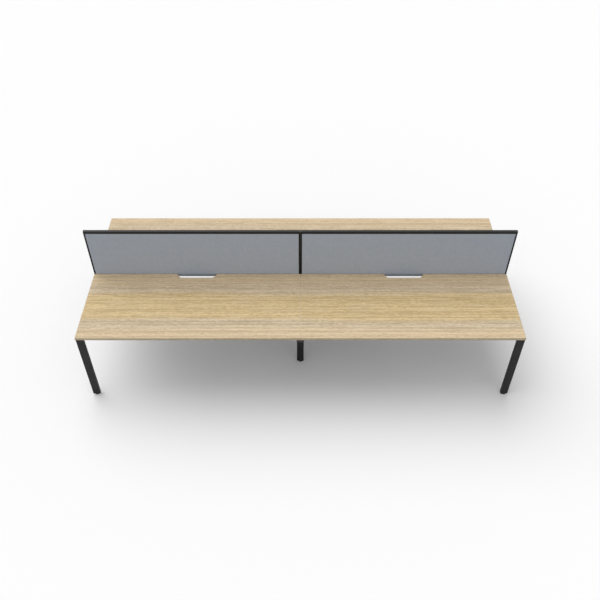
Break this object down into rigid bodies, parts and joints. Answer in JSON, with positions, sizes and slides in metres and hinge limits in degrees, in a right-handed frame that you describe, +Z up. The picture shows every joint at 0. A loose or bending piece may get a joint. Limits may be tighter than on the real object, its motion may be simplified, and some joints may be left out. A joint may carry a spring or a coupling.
{
  "type": "back-to-back workstation",
  "caption": "Back-to-back office workstation: pale oak desktops with cable scallops on a black tube frame, with grey fabric screens along the middle and levelling feet.",
  "frame": {"origin": "floor, under the middle of the row", "axes": "+X along the row, +Y from the front seats to the rear seats, +Z up"},
  "size_m": [3.6, 1.54, 1.2],
  "materials": {
    "oak_board": "matt pale oak decor, fine grain along the row",
    "oak_edge": "oak coloured edge band, satin",
    "frame_steel": "fine textured black powder coat",
    "screen_frame": "satin black coated extrusion",
    "screen_fabric": "plain woven grey cloth",
    "screen_core": "fibreboard",
    "black_plastic": "moulded, fine grain",
    "zinc_steel": "zinc plated"
  },
  "bodies": {
    "desk": {"front_left_desktop": "oak_board", "front_left_outer_beam": "frame_steel", "front_left_inner_beam": "frame_steel", "front_right_desktop": "oak_board", "front_right_outer_beam": "frame_steel", "front_right_inner_beam": "frame_steel", "rear_left_desktop": "oak_board", "rear_left_outer_beam": "frame_steel", "rear_left_inner_beam": "frame_steel", "rear_right_desktop": "oak_board", "rear_right_outer_beam": "frame_steel", "rear_right_inner_beam": "frame_steel", "front_edge_bands": "oak_edge", "rear_edge_bands": "oak_edge", "middle_front_leg": "frame_steel", "left_front_leg": "frame_steel", "right_front_leg": "frame_steel", "middle_rear_leg": "frame_steel", "left_rear_leg": "frame_steel", "right_rear_leg": "frame_steel", "left_end_rail": "frame_steel", "left_screen_top_rail": "screen_frame", "left_screen_bottom_rail": "screen_frame", "left_screen_outer_stile": "screen_frame", "left_screen_inner_stile": "screen_frame", "left_screen_core": "screen_core", "left_screen_front_fabric": "screen_fabric", "left_screen_rear_fabric": "screen_fabric", "right_end_rail": "frame_steel", "right_screen_top_rail": "screen_frame", "right_screen_bottom_rail": "screen_frame", "right_screen_outer_stile": "screen_frame", "right_screen_inner_stile": "screen_frame", "right_screen_core": "screen_core", "right_screen_front_fabric": "screen_fabric", "right_screen_rear_fabric": "screen_fabric", "middle_rail": "frame_steel", "middle_rail_caps": "black_plastic", "leg_plugs": "black_plastic", "stile_caps": "black_plastic", "beam_bolts": "zinc_steel", "rivet_nuts": "zinc_steel", "top_screws": "zinc_steel", "screen_corner_screws": "zinc_steel", "screen_bolts": "zinc_steel", "top_brackets": "frame_steel", "screen_plates": "frame_steel"},
    "middle_front_pad": {"middle_front_foot_pad": "black_plastic"},
    "middle_front_stem": {"middle_front_foot_stem": "zinc_steel"},
    "left_front_pad": {"left_front_foot_pad": "black_plastic"},
    "left_front_stem": {"left_front_foot_stem": "zinc_steel"},
    "right_front_pad": {"right_front_foot_pad": "black_plastic"},
    "right_front_stem": {"right_front_foot_stem": "zinc_steel"},
    "middle_rear_pad": {"middle_rear_foot_pad": "black_plastic"},
    "middle_rear_stem": {"middle_rear_foot_stem": "zinc_steel"},
    "left_rear_pad": {"left_rear_foot_pad": "black_plastic"},
    "left_rear_stem": {"left_rear_foot_stem": "zinc_steel"},
    "right_rear_pad": {"right_rear_foot_pad": "black_plastic"},
    "right_rear_stem": {"right_rear_foot_stem": "zinc_steel"}
  },
  "joints": [
    {"name": "middle_front_foot_height", "type": "slide", "parent": "desk", "child": "middle_front_pad", "axis": [0, 0, -1], "range_m": [0, 0.015]},
    {"name": "middle_front_stem_turn", "type": "hinge", "parent": "middle_front_pad", "child": "middle_front_stem", "pos_m": [0, -0.38, 0.011], "axis": [0, 0, -1], "range_deg": [0, 3600]},
    {"name": "left_front_foot_height", "type": "slide", "parent": "desk", "child": "left_front_pad", "axis": [0, 0, -1], "range_m": [0, 0.015]},
    {"name": "left_front_stem_turn", "type": "hinge", "parent": "left_front_pad", "child": "left_front_stem", "pos_m": [-1.769, -0.751, 0.011], "axis": [0, 0, -1], "range_deg": [0, 3600]},
    {"name": "right_front_foot_height", "type": "slide", "parent": "desk", "child": "right_front_pad", "axis": [0, 0, -1], "range_m": [0, 0.015]},
    {"name": "right_front_stem_turn", "type": "hinge", "parent": "right_front_pad", "child": "right_front_stem", "pos_m": [1.769, -0.751, 0.011], "axis": [0, 0, -1], "range_deg": [0, 3600]},
    {"name": "middle_rear_foot_height", "type": "slide", "parent": "desk", "child": "middle_rear_pad", "axis": [0, 0, -1], "range_m": [0, 0.015]},
    {"name": "middle_rear_stem_turn", "type": "hinge", "parent": "middle_rear_pad", "child": "middle_rear_stem", "pos_m": [0, 0.38, 0.011], "axis": [0, 0, -1], "range_deg": [0, 3600]},
    {"name": "left_rear_foot_height", "type": "slide", "parent": "desk", "child": "left_rear_pad", "axis": [0, 0, -1], "range_m": [0, 0.015]},
    {"name": "left_rear_stem_turn", "type": "hinge", "parent": "left_rear_pad", "child": "left_rear_stem", "pos_m": [-1.769, 0.751, 0.011], "axis": [0, 0, -1], "range_deg": [0, 3600]},
    {"name": "right_rear_foot_height", "type": "slide", "parent": "desk", "child": "right_rear_pad", "axis": [0, 0, -1], "range_m": [0, 0.015]},
    {"name": "right_rear_stem_turn", "type": "hinge", "parent": "right_rear_pad", "child": "right_rear_stem", "pos_m": [1.769, 0.751, 0.011], "axis": [0, 0, -1], "range_deg": [0, 3600]}
  ],
  "couplings": [
    {"joint": "middle_front_stem_turn", "follows": "middle_front_foot_height", "rad_per_m": 4188.8},
    {"joint": "left_front_stem_turn", "follows": "left_front_foot_height", "rad_per_m": 4188.8},
    {"joint": "right_front_stem_turn", "follows": "right_front_foot_height", "rad_per_m": 4188.8},
    {"joint": "middle_rear_stem_turn", "follows": "middle_rear_foot_height", "rad_per_m": 4188.8},
    {"joint": "left_rear_stem_turn", "follows": "left_rear_foot_height", "rad_per_m": 4188.8},
    {"joint": "right_rear_stem_turn", "follows": "right_rear_foot_height", "rad_per_m": 4188.8}
  ]
}
